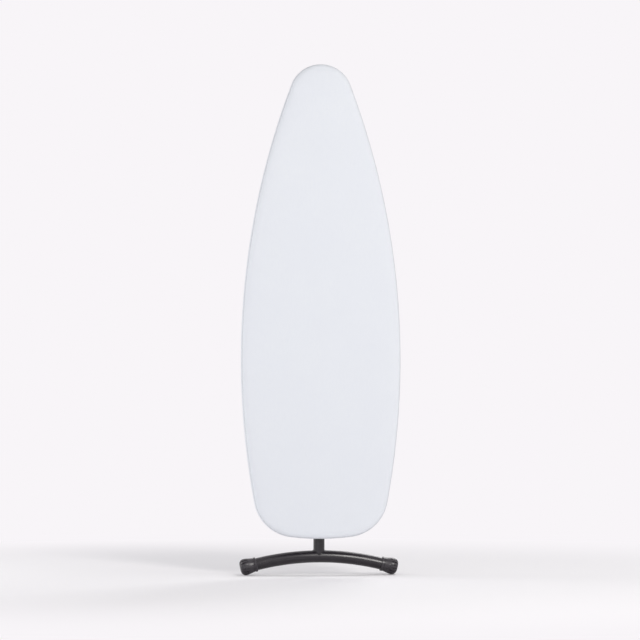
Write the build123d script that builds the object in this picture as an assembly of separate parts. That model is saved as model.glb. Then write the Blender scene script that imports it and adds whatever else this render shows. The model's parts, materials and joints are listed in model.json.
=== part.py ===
from build123d import *
import os
from math import atan2, cos, degrees, hypot, radians, sin, sqrt

# Folding ironing board, folded flat and standing upright on the foot of its inner leg.
# X runs across the board, Y from the ironing face back to the legs, Z from the foot up to the nose.
# All sizes are in millimetres.

# Outline of the covered top
board_length = 1350.0
board_width = 456.0
board_base = 105.0
widest_from_nose = 840.0
side_radius = 2200.0
end_radius = 700.0
corner_radius = 120.0

# Layers of the top, from the ironing face backwards
cover_thick = 1.5
pad_thick = 7.0
mesh_thick = 1.5
rim_size = 16.0
rim_wall = 1.2
edge_round = 8.0
pad_bevel = 4.5
hem_bevel = 1.8
hem_width = 38.0
hem_fold = 1.2
casing_width = 10.0
elastic_width = 6.0
elastic_thick = 1.0
seat_gap = 0.3

# Expanded steel sheet: pitch of the diamonds, width of the strands, plain border
diamond_pitch_x = 50.0
diamond_pitch_z = 116.0
strand_width = 6.0
mesh_border = 22.0

# Channels across the back of the sheet, by the height of their middle line
rear_channel_z = 190.0
rack_channel_z = 420.0
middle_channel_z = 655.0
clip_channel_z = 870.0
nose_channel_z = 1280.0
channel_width = 30.0
channel_wall = 1.2

# Plastic clip that holds the folded inner leg
clip_base = 3.0
clip_wall = 3.2
clip_gap = 0.3
clip_half_width = 32.0
clip_jaw_over = 3.0
clip_tip_round = 1.2
clip_hollow = 11.0

# Depths behind the sheet of the leg tubes and of the two upper pivots
leg_depth = 61.0
pivot_depth = 37.0

# Legs and feet
tube_dia = 32.0
twin_dia = 22.0
bar_dia = 35.0
tube_wall = 1.2
twin_x = 65.0
pivot_z = 1089.0
slide_rest_z = 168.0
unfold_limit = 55.0
leg_top_over = 18.0
foot_span = 456.0
front_foot_span = 256.0
foot_tilt = 13.3
foot_straight = 40.0

# Plastic plug in the top of the inner leg
plug_height = 3.0
plug_bevel = 2.0
plug_depth = 14.0

# Ribbed foot caps, measured along the cap from its mouth
cap_length = 48.0
cap_belly = 34.0
cap_radius = 23.5
cap_corner = 14.0
cap_collar = 20.1
cap_lip_length = 6.0
cap_lip_rise = 0.6
cap_groove = 1.0
cap_flare_start = 9.0
cap_socket = 35.0
cap_slot_count = 16
cap_slot_width = 3.0
cap_slot_depth = 2.3
cap_slot_start = 13.0
cap_slot_end_angle = 25.0

# Hinge of the inner leg, crossing bolt and sliding bar of the outer leg
hinge_rod_dia = 10.0
hinge_tube_dia = 20.0
hinge_tube_end = 45.5
ear_x = 47.0
ear_thick = 2.5
ear_width = 26.0
ear_top_dia = 20.0
bracket_end = 72.0
hinge_rod_end = 56.5
push_cap_wall = 2.0
push_cap_depth = 6.5
bolt_dia = 8.0
bolt_head_dia = 17.0
bolt_head_height = 4.5
bolt_thread_over = 8.5
nut_flats = 13.0
nut_height = 6.5
sleeve_dia = 14.0
sleeve_end = 51.0
washer_dia = 18.0
saddle_thick = 2.5
slide_bar_dia = 12.0
slide_bar_end = 106.0
lug_thick = 4.0
lug_eye_dia = 22.0
lug_plate_low = 27.0
lug_plate_length = 42.0
bush_dia = 16.0
bush_flange_dia = 22.0
bush_flange_thick = 2.5
running_gap = 0.05
side_gap = 0.4
slot_gap = 0.4

# Rack rails: an upright web with the slot, and a flange turned outwards
rail_x = 86.0
rail_thick = 2.0
rail_height = 36.0
rail_flange_end = 134.0
rail_low_z = 152.0
rail_flange_low_z = 182.0
rail_high_z = 676.0
rail_corner = 5.0
notch_count = 7
notch_low_z = 396.0
notch_depth = 9.0

# Height release lever on the right-hand rail
lever_x = 124.0
lever_depth = 25.0
lever_rod_dia = 8.0
lever_hub_dia = 13.0
lever_rod_low_z = 200.0
lever_rod_high_z = 654.0
tab_heights = (206.0, 378.0, 644.0)
tab_thick = 3.0
tab_width = 18.0
clip_ring_thick = 1.2
clip_ring_over = 6.0
blade_low_z = 386.0
blade_high_z = 612.0
blade_reach = 30.0
blade_thick = 1.5
blade_crank = 9.0
blade_sink = 5.8
blade_bend = 3.0
arm_low_z = 246.0
arm_high_z = 290.0
arm_rise = 22.0
arm_reach = 62.0
arm_thick = 3.0
grip_start = 33.0
grip_end = 75.0
grip_thick = 11.0
grip_over = 5.0
grip_corner = 8.0
grip_bevel = 2.5

# Leaf spring of the lever and its seat on the rail
spring_thick = 0.8
spring_width = 14.0
spring_bend = 2.0
spring_seat_width = 24.0
spring_seat_reach = 18.0

# Values that follow from the driving dimensions
half_width = board_width / 2
nose_z = board_base + board_length
front_y = -(cover_thick + pad_thick + mesh_thick + leg_depth + cap_radius) / 2
mesh_front = front_y + cover_thick + pad_thick
mesh_back = mesh_front + mesh_thick
frame_back = mesh_back + rim_size
hem_front = frame_back + seat_gap
hem_back = hem_front + cover_thick
pivot_y = mesh_back + pivot_depth
leg_y = mesh_back + leg_depth
lever_y = mesh_back + lever_depth
flange_back = frame_back + rail_thick
cross_z = (pivot_z + slide_rest_z) / 2
cross_radius = hypot(pivot_z - cross_z, leg_depth - pivot_depth)
cross_angle = degrees(atan2(leg_depth - pivot_depth, pivot_z - cross_z))
slide_high_z = pivot_z - 2 * cross_radius * cos(radians(cross_angle + unfold_limit))
rim_inset = cover_thick + seat_gap
spring_z = (arm_low_z + arm_high_z) / 2
leg_top_z = pivot_z + leg_top_over
bolt_seat_x = twin_x + twin_dia / 2 + saddle_thick

side_centre = Vector(half_width - side_radius, nose_z - widest_from_nose)
nose_radius = (side_radius**2 - widest_from_nose**2 - side_centre.X**2) / (
    2 * (side_radius - widest_from_nose)
)
nose_centre = Vector(0, nose_z - nose_radius)
end_centre = Vector(0, board_base + end_radius)


def lower_meeting(first, first_radius, second, second_radius):
    """Lower of the two points where two circles in the outline plane cross."""
    line = second - first
    along = (first_radius**2 - second_radius**2 + line.length**2) / (2 * line.length)
    aside = sqrt(first_radius**2 - along**2)
    ahead = line.normalized()
    return first + ahead * along + Vector(ahead.Y, -ahead.X) * aside


corner_centre = lower_meeting(
    side_centre, side_radius - corner_radius, end_centre, end_radius - corner_radius
)


def bearing(start, finish):
    """Angle in degrees of the line from one outline point to another."""
    return degrees(atan2(finish.Y - start.Y, finish.X - start.X))


def outline(inset):
    """Outline of the board taken in by inset: tangent arcs of nose, sides, corners and end."""
    nose_angle = bearing(side_centre, nose_centre)
    corner_angle = bearing(side_centre, corner_centre)
    end_angle = bearing(end_centre, corner_centre)
    nose = CenterArc(nose_centre, nose_radius - inset, nose_angle, 180 - 2 * nose_angle)
    side = CenterArc(side_centre, side_radius - inset, corner_angle, nose_angle - corner_angle)
    corner = CenterArc(corner_centre, corner_radius - inset, end_angle, corner_angle - end_angle)
    end = CenterArc(end_centre, end_radius - inset, -180 - end_angle, 180 + 2 * end_angle)
    other_side = [mirror(edge, about=Plane.YZ) for edge in (side, corner)]
    return make_face([nose, side, corner, end] + other_side)


def slab(face, y_start, y_end):
    """Solid between two depths, with a face of the outline plane as its section."""
    return extrude(Plane.XZ.offset(-y_start) * face, amount=y_start - y_end)


def ring(outer_inset, inner_inset, y_start, y_end):
    """Band that follows the outline between two insets and two depths."""
    return slab(outline(outer_inset), y_start, y_end) - slab(outline(inner_inset), y_start, y_end)


def block(x_span, y_span, z_span):
    """Box between pairs of coordinates."""
    spans = (x_span, y_span, z_span)
    middle = [(low + high) / 2 for low, high in spans]
    size = [high - low for low, high in spans]
    return Pos(*middle) * Box(*size)


def rod_x(x_start, x_end, y, z, dia):
    """Round bar along X."""
    bar = Cylinder(dia / 2, x_end - x_start, align=(Align.CENTER, Align.CENTER, Align.MIN))
    return Pos(x_start, y, z) * Rot(0, 90, 0) * bar


def rod_z(z_start, z_end, x, y, dia):
    """Round bar along Z."""
    bar = Cylinder(dia / 2, z_end - z_start, align=(Align.CENTER, Align.CENTER, Align.MIN))
    return Pos(x, y, z_start) * bar


def ring_x(x_start, x_end, y, z, dia, bore):
    """Round tube, sleeve or washer along X."""
    return rod_x(x_start, x_end, y, z, dia) - rod_x(x_start, x_end, y, z, bore)


def plate_x(face, x_start, x_end):
    """Plate between two values of X, cut from a face drawn with (Y, Z) as its coordinates."""
    return extrude(Plane.YZ.offset(x_start) * face, amount=x_end - x_start)


def other_hand(shape):
    """The same piece on the other side of the board."""
    return mirror(shape, about=Plane.YZ)


def pair(shape):
    """A piece and its mirror image, as two separate solids."""
    return Compound(children=[shape.solid(), other_hand(shape).solid()])


# Covered top


def front_edges(body):
    """Edges round the ironing face of a layer."""
    return body.faces().sort_by(Axis.Y)[0].edges()


def cover():
    """Fitted cloth cover: face, rounded edge, hem over the back of the rim, open elastic casing."""
    shell = slab(outline(0), front_y, hem_back)
    shell = fillet(front_edges(shell), edge_round)
    shell = chamfer(shell.faces().sort_by(Axis.Y)[-1].edges(), hem_bevel)
    hollow = slab(outline(cover_thick), front_y + cover_thick, hem_front)
    shell -= chamfer(front_edges(hollow), pad_bevel)
    shell -= slab(outline(hem_width), hem_front - 1, hem_back + 1)
    casing_back = hem_back + elastic_thick + hem_fold
    casing = ring(hem_width - casing_width, hem_width, hem_back, casing_back)
    tunnel = ring(hem_width - casing_width, hem_width - hem_fold, hem_back, hem_back + elastic_thick)
    return shell + (casing - tunnel)


def hem_elastic():
    """Flat elastic band that lies in the casing of the hem."""
    inner = hem_width - hem_fold
    return ring(inner - elastic_width, inner, hem_back, hem_back + elastic_thick)


def foam_pad():
    """Soft underlay between the cloth and the steel sheet."""
    pad = slab(outline(rim_inset), front_y + cover_thick, mesh_front)
    return chamfer(front_edges(pad), pad_bevel)


def mesh_top():
    """Expanded steel sheet with staggered diamond openings inside a plain border."""
    half_x = diamond_pitch_x / 2
    half_z = diamond_pitch_z / 2
    shrink = 1 - strand_width / 2 * hypot(half_x, half_z) / (half_x * half_z)
    border = outline(mesh_border).face()
    openings = []
    for row in range(int(board_length / half_z) + 1):
        z = board_base + row * half_z
        for column in range(-6, 7):
            x = (column + row % 2 / 2) * diamond_pitch_x
            tips = [(x + half_x * shrink, z), (x, z + half_z * shrink)]
            tips += [(x - half_x * shrink, z), (x, z - half_z * shrink)]
            if all(border.is_inside(Vector(*tip)) for tip in tips):
                openings.append(Wire.make_polygon(tips))
    sheet = Face(outline(rim_inset).face().outer_wire(), openings)
    return slab(sheet, mesh_front, mesh_back)


def rim_tube():
    """Square tube bent all the way round the board, behind the edge of the sheet."""
    inner_inset = rim_inset + rim_size
    tube = ring(rim_inset, inner_inset, mesh_back, frame_back)
    y_span = (mesh_back + rim_wall, frame_back - rim_wall)
    return tube - ring(rim_inset + rim_wall, inner_inset - rim_wall, *y_span)


def channel(z):
    """Steel channel across the board, open towards the sheet, welded between the sides of the rim."""
    half = channel_width / 2
    bar = block((-half_width, half_width), (mesh_back, frame_back), (z - half, z + half))
    half -= channel_wall
    bar -= block((-half_width, half_width), (mesh_back, frame_back - channel_wall), (z - half, z + half))
    return bar & slab(outline(rim_inset + rim_size), mesh_back, frame_back)


def leg_clip():
    """Plastic clip that cradles the folded inner leg between two parallel jaws."""
    half = channel_width / 2 - 2
    z_span = (clip_channel_z - half, clip_channel_z + half)
    inner = tube_dia / 2 + clip_gap
    outer = inner + clip_wall
    base_back = frame_back + clip_base
    foot = block((-clip_half_width, clip_half_width), (frame_back, base_back), z_span)
    cradle = block((-outer, outer), (frame_back, leg_y + clip_jaw_over), z_span)
    cradle -= block((-inner, inner), (leg_y, leg_y + clip_jaw_over), z_span)
    cradle -= rod_z(*z_span, 0, leg_y, inner * 2)
    cradle -= block((-clip_hollow, clip_hollow), (base_back, leg_y - outer), z_span)
    tips = cradle.faces().sort_by(Axis.Y)[-2:].edges().filter_by(Axis.Z)
    return foot + fillet(tips, clip_tip_round)


# Rack rails with the release lever


def slot_cut():
    """Slot of a rack rail: a long run for the bush, with notches on the side of the board."""
    width = bush_dia + 2 * slot_gap
    middle_z = (slide_rest_z + slide_high_z) / 2
    cut = Pos(pivot_y, middle_z) * Rectangle(width, slide_high_z - slide_rest_z)
    for z in (slide_rest_z, slide_high_z):
        cut += Pos(pivot_y, z) * Circle(width / 2)
    step = (slide_high_z - notch_low_z) / (notch_count - 1)
    for number in range(notch_count):
        z = notch_low_z + number * step
        cut += Pos(pivot_y - notch_depth, z) * Circle(width / 2)
        cut += Pos(pivot_y - notch_depth / 2, z) * Rectangle(notch_depth, width)
    return cut


def rack_rail():
    """Angle rail of the right-hand side, welded to three channels."""
    web_middle = Pos(frame_back + rail_height / 2, (rail_low_z + rail_high_z) / 2)
    web = web_middle * RectangleRounded(rail_height, rail_high_z - rail_low_z, rail_corner)
    rail = plate_x(web - slot_cut(), rail_x, rail_x + rail_thick)
    flange_z = (rail_flange_low_z, rail_high_z - rail_corner)
    return rail + block((rail_x, rail_flange_end), (frame_back, flange_back), flange_z)


def lever_rail():
    """Right-hand rail with the bearing tabs of the release lever and the seat of its spring."""
    rail = rack_rail()
    half = tab_width / 2
    for z in tab_heights:
        z_span = (z - tab_thick / 2, z + tab_thick / 2)
        tab = block((lever_x - half, lever_x + half), (frame_back, lever_y), z_span)
        tab += rod_z(*z_span, lever_x, lever_y, tab_width)
        rail += tab - rod_z(*z_span, lever_x, lever_y, lever_rod_dia + 2 * running_gap)
    seat_x = (rail_flange_end, rail_flange_end + spring_seat_reach)
    seat_z = (spring_z - spring_seat_width / 2, spring_z + spring_seat_width / 2)
    return rail + block(seat_x, (frame_back, flange_back), seat_z)


def return_spring():
    """Bent leaf spring between the flange of the rail and the arm of the lever."""
    seat_y = flange_back + spring_thick / 2 + 0.1
    start = (lever_x + 12, seat_y)
    fold = (lever_x + 32, seat_y)
    finish = (lever_x + 15.5, lever_y + 4)
    leaf = trace(FilletPolyline(start, fold, finish, radius=spring_bend), spring_thick)
    return Pos(0, 0, spring_z - spring_width / 2) * extrude(leaf, amount=spring_width)


def lever_rod():
    """Round steel shaft of the release lever."""
    return rod_z(lever_rod_low_z, lever_rod_high_z, lever_x, lever_y, lever_rod_dia)


def lever_clips():
    """Retaining rings on both ends of the lever shaft."""
    low_z = tab_heights[0] - tab_thick / 2 - side_gap - clip_ring_thick
    high_z = tab_heights[-1] + tab_thick / 2 + side_gap
    rings = []
    for z in (low_z, high_z):
        z_span = (z, z + clip_ring_thick)
        washer = rod_z(*z_span, lever_x, lever_y, lever_rod_dia + clip_ring_over)
        rings.append((washer - rod_z(*z_span, lever_x, lever_y, lever_rod_dia)).solid())
    return Compound(children=rings)


def on_shaft(plate, z_low, z_high):
    """A plate of the lever with its hub round the shaft."""
    plate += rod_z(z_low, z_high, lever_x, lever_y, lever_hub_dia)
    return plate - rod_z(z_low, z_high, lever_x, lever_y, lever_rod_dia)


def release_blade():
    """Cranked blade under the sliding bar, which it lifts out of the notches."""
    crank = FilletPolyline(
        (0, 0), (-blade_crank, -blade_sink), (-blade_reach, -blade_sink), radius=blade_bend
    )
    plate = extrude(trace(crank, blade_thick), amount=blade_high_z - blade_low_z)
    return on_shaft(Pos(lever_x, lever_y, blade_low_z) * plate, blade_low_z, blade_high_z)


def lever_arm():
    """Steel arm of the release lever."""
    plate = block((0, arm_reach), (-arm_thick / 2, arm_thick / 2), (arm_low_z, arm_high_z))
    return on_shaft(Pos(lever_x, lever_y, 0) * Rot(0, 0, arm_rise) * plate, arm_low_z, arm_high_z)


def lever_grip():
    """Plastic grip moulded over the end of the arm."""
    half = grip_thick / 2
    z_span = (arm_low_z - grip_over, arm_high_z + grip_over)
    grip = block((grip_start, grip_end), (-half, half), z_span)
    grip = fillet(grip.edges().filter_by(Axis.Y), grip_corner)
    faces = grip.faces().sort_by(Axis.Y)
    grip = chamfer(faces[0].edges() + faces[-1].edges(), grip_bevel)
    return Pos(lever_x, lever_y, 0) * Rot(0, 0, arm_rise) * grip - lever_arm()


# Feet


def cap_profile():
    """Half section of a foot cap: X along the cap from its mouth, Y outwards from its axis."""
    socket = bar_dia / 2
    lip = cap_collar + cap_lip_rise
    groove = cap_collar - cap_groove
    flare_start = (cap_flare_start, cap_collar)
    lip_end = (cap_lip_length, lip)
    flare = Spline(flare_start, (cap_belly, cap_radius), tangents=((1, 0.05), (1, 0)))
    neck = Polyline(flare_start, (cap_flare_start - 1, groove), (cap_lip_length + 0.5, groove), lip_end)
    mouth = Polyline(lip_end, (1, lip), (0, lip - 1), (0, socket))
    crown = (cap_length, cap_radius - cap_corner)
    well = Polyline((0, socket), (cap_socket, socket), (cap_socket, 0), (cap_length, 0), crown)
    corner = CenterArc((cap_belly, cap_radius - cap_corner), cap_corner, 0, 90)
    return make_face([flare, neck, mouth, well, corner])


def cap_slot():
    """Cutter for one slot between two ribs of a foot cap."""
    turn = radians(cap_slot_end_angle)
    start = (cap_slot_start, cap_collar + cap_lip_rise)
    crest = (cap_belly - 3, cap_radius - cap_slot_depth)
    finish = (cap_belly + cap_corner * cos(turn), cap_radius - cap_corner + cap_corner * sin(turn))
    outside = cap_radius + 4
    floor = ThreePointArc(start, crest, finish)
    sides = Polyline(finish, (cap_length + 4, outside), (cap_slot_start, outside), start)
    return extrude(make_face([floor, sides]), amount=cap_slot_width / 2, both=True)


def foot_cap():
    """Ribbed plastic cap, lying along X with its mouth at the origin."""
    slot = cap_slot()
    step = 360 / cap_slot_count
    slots = [Rot((number + 0.5) * step, 0, 0) * slot for number in range(cap_slot_count)]
    return revolve(cap_profile(), Axis.X, 360) - slots


class Foot:
    """Bowed foot bar with a cap on each end; the caps stand on z = 0 and the bar arches upwards."""

    def __init__(self, span):
        lean = radians(foot_tilt)
        corner_offset = cap_radius - cap_corner
        belly_x = span / 2 - cap_corner - corner_offset * sin(lean)
        belly_z = cap_corner + corner_offset * cos(lean)
        past = cap_socket - cap_belly
        self.bend_x = belly_x + (past - foot_straight) * cos(lean)
        self.bend_z = belly_z - (past - foot_straight) * sin(lean)
        self.bow_radius = self.bend_x / sin(lean)
        self.bow_z = self.bend_z - self.bow_radius * cos(lean)
        self.apex_z = self.bow_z + self.bow_radius
        self.mouth_x = belly_x - cap_belly * cos(lean)
        self.mouth_z = belly_z + cap_belly * sin(lean)

    def solid_bar(self, dia):
        """Bow and straight ends as one round bar."""
        lean = radians(foot_tilt)
        end_direction = (cos(lean), 0, -sin(lean))
        start = Plane((self.bend_x, leg_y, self.bend_z), x_dir=(0, 1, 0), z_dir=end_direction)
        section = start * Circle(dia / 2)
        bow = revolve(section, Axis((0, leg_y, self.bow_z), (0, -1, 0)), 2 * foot_tilt)
        straight = extrude(section, amount=foot_straight)
        return bow + straight + other_hand(straight)

    def bar(self):
        """Bent tube."""
        return self.solid_bar(bar_dia) - self.solid_bar(bar_dia - 2 * tube_wall)

    def caps(self):
        """Caps on both ends."""
        return pair(Pos(self.mouth_x, leg_y, self.mouth_z) * Rot(0, foot_tilt, 0) * foot_cap())


rear_foot = Foot(foot_span)
front_foot = Foot(front_foot_span)


def overturn(shape):
    """Turn a foot of the inner leg into the place of the outer leg's foot."""
    return Pos(0, 0, 2 * cross_z) * Rot(0, 180, 0) * shape


# Inner leg


def inner_leg_tube():
    """Single leg tube, coped on to its foot bar and crossed by the sleeve of the bolt."""
    tube = rod_z(rear_foot.apex_z, leg_top_z, 0, leg_y, tube_dia)
    tube -= rod_z(rear_foot.apex_z, leg_top_z, 0, leg_y, tube_dia - 2 * tube_wall)
    tube -= rear_foot.solid_bar(bar_dia)
    return tube - rod_x(-tube_dia, tube_dia, leg_y, cross_z, sleeve_dia)


def hinge_tube():
    """Hinge tube welded across the front of the leg near its top."""
    bore = hinge_rod_dia + 2 * running_gap
    tube = ring_x(-hinge_tube_end, hinge_tube_end, pivot_y, pivot_z, hinge_tube_dia, bore)
    return tube - rod_z(pivot_z - hinge_tube_dia, pivot_z + hinge_tube_dia, 0, leg_y, tube_dia)


def inner_leg_plug():
    """Plastic plug in the open top of the leg tube."""
    head = rod_z(leg_top_z, leg_top_z + plug_height, 0, leg_y, tube_dia)
    head = chamfer(head.edges().sort_by(Axis.Z)[-1], plug_bevel)
    return head + rod_z(leg_top_z - plug_depth, leg_top_z, 0, leg_y, tube_dia - 2 * tube_wall)


def crossing_sleeve():
    """Steel sleeve through the inner leg, in which the crossing bolt turns."""
    return ring_x(-sleeve_end, sleeve_end, leg_y, cross_z, sleeve_dia, bolt_dia + 2 * running_gap)


# Hinge of the inner leg on the board


def pivot_bracket():
    """Right-hand bracket: a foot welded to the channel and an upright ear for the hinge rod."""
    ear_face = Pos((frame_back + pivot_y) / 2, pivot_z) * Rectangle(pivot_y - frame_back, ear_width)
    ear_face += Pos(pivot_y, pivot_z) * Circle(ear_top_dia / 2)
    ear_face -= Pos(pivot_y, pivot_z) * Circle(hinge_rod_dia / 2)
    half = channel_width / 2
    foot_z = (pivot_z - half, pivot_z + half)
    bracket = plate_x(ear_face, ear_x, ear_x + ear_thick)
    return bracket + block((ear_x, bracket_end), (frame_back, frame_back + ear_thick), foot_z)


def hinge_rod():
    """Steel rod on which the inner leg turns."""
    return rod_x(-hinge_rod_end, hinge_rod_end, pivot_y, pivot_z, hinge_rod_dia)


def push_cap(rod_end, z, bore):
    """Push-on cap over the right-hand end of a rod of the upper pivots."""
    start = rod_end - push_cap_depth
    cap = rod_x(start, rod_end + push_cap_wall, pivot_y, z, bore + 2 * push_cap_wall)
    cap = chamfer(cap.edges().sort_by(Axis.X)[-1], push_cap_wall * 0.75)
    return cap - rod_x(start, rod_end, pivot_y, z, bore)


# Outer leg


def outer_leg_tube():
    """Right-hand tube of the outer leg, coped on to its foot bar."""
    low_z = slide_rest_z + lug_plate_low + 1
    high_z = 2 * cross_z - front_foot.apex_z
    tube = rod_z(low_z, high_z, twin_x, leg_y, twin_dia)
    tube -= rod_z(low_z, high_z, twin_x, leg_y, twin_dia - 2 * tube_wall)
    tube -= overturn(front_foot.solid_bar(bar_dia))
    return tube - rod_x(twin_x - twin_dia, twin_x + twin_dia, leg_y, cross_z, bolt_dia)


def slide_lug():
    """Flat lug in the open end of a twin tube, with an eye for the sliding bar."""
    half = twin_dia / 2 - tube_wall - side_gap
    low_z = slide_rest_z + lug_plate_low
    high_z = low_z + lug_plate_length
    eye_radius = lug_eye_dia / 2
    slant = radians(55)
    eye_side = (pivot_y - eye_radius * cos(0.2), slide_rest_z + eye_radius * sin(0.2))
    eye_under = (pivot_y + eye_radius * cos(slant), slide_rest_z - eye_radius * sin(slant))
    plate = [(leg_y + half, low_z), (leg_y + half, high_z), (leg_y - half, high_z), (leg_y - half, low_z)]
    sheet = Polygon(eye_side, eye_under, *plate, align=None)
    eye = Pos(pivot_y, slide_rest_z)
    sheet = sheet + eye * Circle(eye_radius) - eye * Circle(slide_bar_dia / 2)
    return plate_x(sheet, twin_x - lug_thick / 2, twin_x + lug_thick / 2)


def slide_bar():
    """Sliding bar that joins the tops of the twin tubes and runs in both rack rails."""
    return rod_x(-slide_bar_end, slide_bar_end, pivot_y, slide_rest_z, slide_bar_dia)


def slide_bush():
    """Right-hand nylon bush with a flange on each side of the rail."""
    inner = rail_x - side_gap
    outer = rail_x + rail_thick + side_gap
    bush = ring_x(inner, outer, pivot_y, slide_rest_z, bush_dia, slide_bar_dia)
    for start in (inner - bush_flange_thick, outer):
        end = start + bush_flange_thick
        bush += ring_x(start, end, pivot_y, slide_rest_z, bush_flange_dia, slide_bar_dia)
    return bush


def pivot_washer():
    """Right-hand nylon washer between the sleeve and a twin tube."""
    start = sleeve_end + seat_gap
    return ring_x(start, twin_x - twin_dia / 2, leg_y, cross_z, washer_dia, bolt_dia)


def saddle_washer():
    """Right-hand plastic washer, hollowed to sit on the round of a twin tube."""
    washer = ring_x(twin_x, bolt_seat_x, leg_y, cross_z, twin_dia - 1, bolt_dia)
    return washer - rod_z(cross_z - twin_dia, cross_z + twin_dia, twin_x, leg_y, twin_dia)


def pivot_bolt():
    """Crossing bolt with a domed head on the left."""
    head = rod_x(-bolt_seat_x - bolt_head_height, -bolt_seat_x, leg_y, cross_z, bolt_head_dia)
    head = chamfer(head.edges().sort_by(Axis.X)[0], bolt_head_height * 0.6)
    return head + rod_x(-bolt_seat_x, bolt_seat_x + bolt_thread_over, leg_y, cross_z, bolt_dia)


def pivot_nut():
    """Hexagon nut on the right-hand end of the crossing bolt."""
    hexagon = RegularPolygon(nut_flats / 2, 6, major_radius=False) - Circle(bolt_dia / 2)
    return extrude(Plane.YZ.offset(bolt_seat_x) * Pos(leg_y, cross_z) * hexagon, amount=nut_height)


twin_tube = outer_leg_tube()

nodes = {
    "cover": cover(),
    "hem_elastic": hem_elastic(),
    "foam_pad": foam_pad(),
    "mesh_top": mesh_top(),
    "rim_tube": rim_tube(),
    "rear_channel": channel(rear_channel_z),
    "rack_channel": channel(rack_channel_z),
    "middle_channel": channel(middle_channel_z),
    "clip_channel": channel(clip_channel_z),
    "pivot_channel": channel(pivot_z),
    "nose_channel": channel(nose_channel_z),
    "rack_rail_left": other_hand(rack_rail()),
    "rack_rail_right": lever_rail(),
    "leg_clip": leg_clip(),
    "pivot_brackets": pair(pivot_bracket()),
    "hinge_rod": hinge_rod(),
    "hinge_rod_caps": pair(push_cap(hinge_rod_end, pivot_z, hinge_rod_dia)),
    "return_spring": return_spring(),
    "inner_leg_tube": inner_leg_tube(),
    "inner_foot_bar": rear_foot.bar(),
    "inner_foot_caps": rear_foot.caps(),
    "hinge_tube": hinge_tube(),
    "inner_leg_plug": inner_leg_plug(),
    "crossing_sleeve": crossing_sleeve(),
    "outer_leg_tube_left": other_hand(twin_tube),
    "outer_leg_tube_right": twin_tube,
    "outer_foot_bar": overturn(front_foot.bar()),
    "outer_foot_caps": overturn(front_foot.caps()),
    "slide_lugs": pair(slide_lug()),
    "slide_bar": slide_bar(),
    "slide_bushes": pair(slide_bush()),
    "slide_bar_caps": pair(push_cap(slide_bar_end, slide_rest_z, slide_bar_dia)),
    "pivot_bolt": pivot_bolt(),
    "pivot_nut": pivot_nut(),
    "pivot_washers": pair(pivot_washer()),
    "saddle_washers": pair(saddle_washer()),
    "lever_rod": lever_rod(),
    "lever_clips": lever_clips(),
    "release_blade": release_blade(),
    "lever_arm": lever_arm(),
    "lever_grip": lever_grip(),
}

os.makedirs("parts", exist_ok=True)
for name, shape in nodes.items():
    export_step(shape, f"parts/{name}.step")
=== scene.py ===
import json
import random
from math import atan2, cos, hypot, pi, radians, sin, sqrt

import bmesh
import bpy
from mathutils import Matrix, Vector
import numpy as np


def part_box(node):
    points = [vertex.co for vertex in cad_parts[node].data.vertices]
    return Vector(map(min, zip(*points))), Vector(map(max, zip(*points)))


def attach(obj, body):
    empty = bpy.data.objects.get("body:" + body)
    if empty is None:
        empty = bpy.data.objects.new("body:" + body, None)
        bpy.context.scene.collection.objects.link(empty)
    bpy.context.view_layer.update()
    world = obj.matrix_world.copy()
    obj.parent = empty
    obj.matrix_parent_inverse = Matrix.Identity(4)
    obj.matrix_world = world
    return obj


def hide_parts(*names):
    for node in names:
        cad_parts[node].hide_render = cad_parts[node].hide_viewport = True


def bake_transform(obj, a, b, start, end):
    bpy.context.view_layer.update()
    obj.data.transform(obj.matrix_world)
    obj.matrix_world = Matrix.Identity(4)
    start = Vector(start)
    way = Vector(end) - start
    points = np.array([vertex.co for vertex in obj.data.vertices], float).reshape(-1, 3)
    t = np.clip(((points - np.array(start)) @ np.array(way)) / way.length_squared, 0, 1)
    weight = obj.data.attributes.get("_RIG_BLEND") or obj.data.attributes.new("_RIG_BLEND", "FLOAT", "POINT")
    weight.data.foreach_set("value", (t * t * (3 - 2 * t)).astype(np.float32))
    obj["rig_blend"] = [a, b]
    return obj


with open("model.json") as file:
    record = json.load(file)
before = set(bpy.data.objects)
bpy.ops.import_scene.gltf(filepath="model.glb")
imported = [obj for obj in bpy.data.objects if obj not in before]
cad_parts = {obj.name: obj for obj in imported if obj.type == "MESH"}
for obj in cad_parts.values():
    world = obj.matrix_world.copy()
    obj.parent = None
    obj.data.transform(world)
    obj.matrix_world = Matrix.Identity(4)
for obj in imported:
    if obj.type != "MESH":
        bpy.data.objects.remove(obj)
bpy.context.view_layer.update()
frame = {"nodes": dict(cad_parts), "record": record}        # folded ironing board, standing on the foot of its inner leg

mm = 0.001
coverLow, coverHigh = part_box("cover")
frontY = coverLow.y
print("frame loaded,", len(frame["nodes"]), "nodes")


# small helpers

def deselectAll():
    if bpy.context.object and bpy.context.object.mode != "OBJECT":
        bpy.ops.object.mode_set(mode="OBJECT")
    bpy.ops.object.select_all(action="DESELECT")


def takeUp(piece):
    # selects this piece alone and makes it the active one
    deselectAll()
    piece.select_set(True)
    bpy.context.view_layer.objects.active = piece


def nameActive(name):
    piece = bpy.context.object
    piece.name = name
    piece.data.name = name
    return piece


def applyPlace(piece):
    takeUp(piece)
    bpy.ops.object.transform_apply(location=True, rotation=True, scale=True)


def applyModifiers(piece):
    takeUp(piece)
    for modifier in list(piece.modifiers):
        bpy.ops.object.modifier_apply(modifier=modifier.name)


def smoothByAngle(piece, degrees):
    takeUp(piece)
    bpy.ops.object.shade_smooth_by_angle(angle=radians(degrees))


def outwardFaces(piece):
    takeUp(piece)
    bpy.ops.object.mode_set(mode="EDIT")
    bpy.ops.mesh.select_all(action="SELECT")
    bpy.ops.mesh.remove_doubles(threshold=1e-6)
    bpy.ops.mesh.normals_make_consistent(inside=False)
    bpy.ops.object.mode_set(mode="OBJECT")


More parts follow.
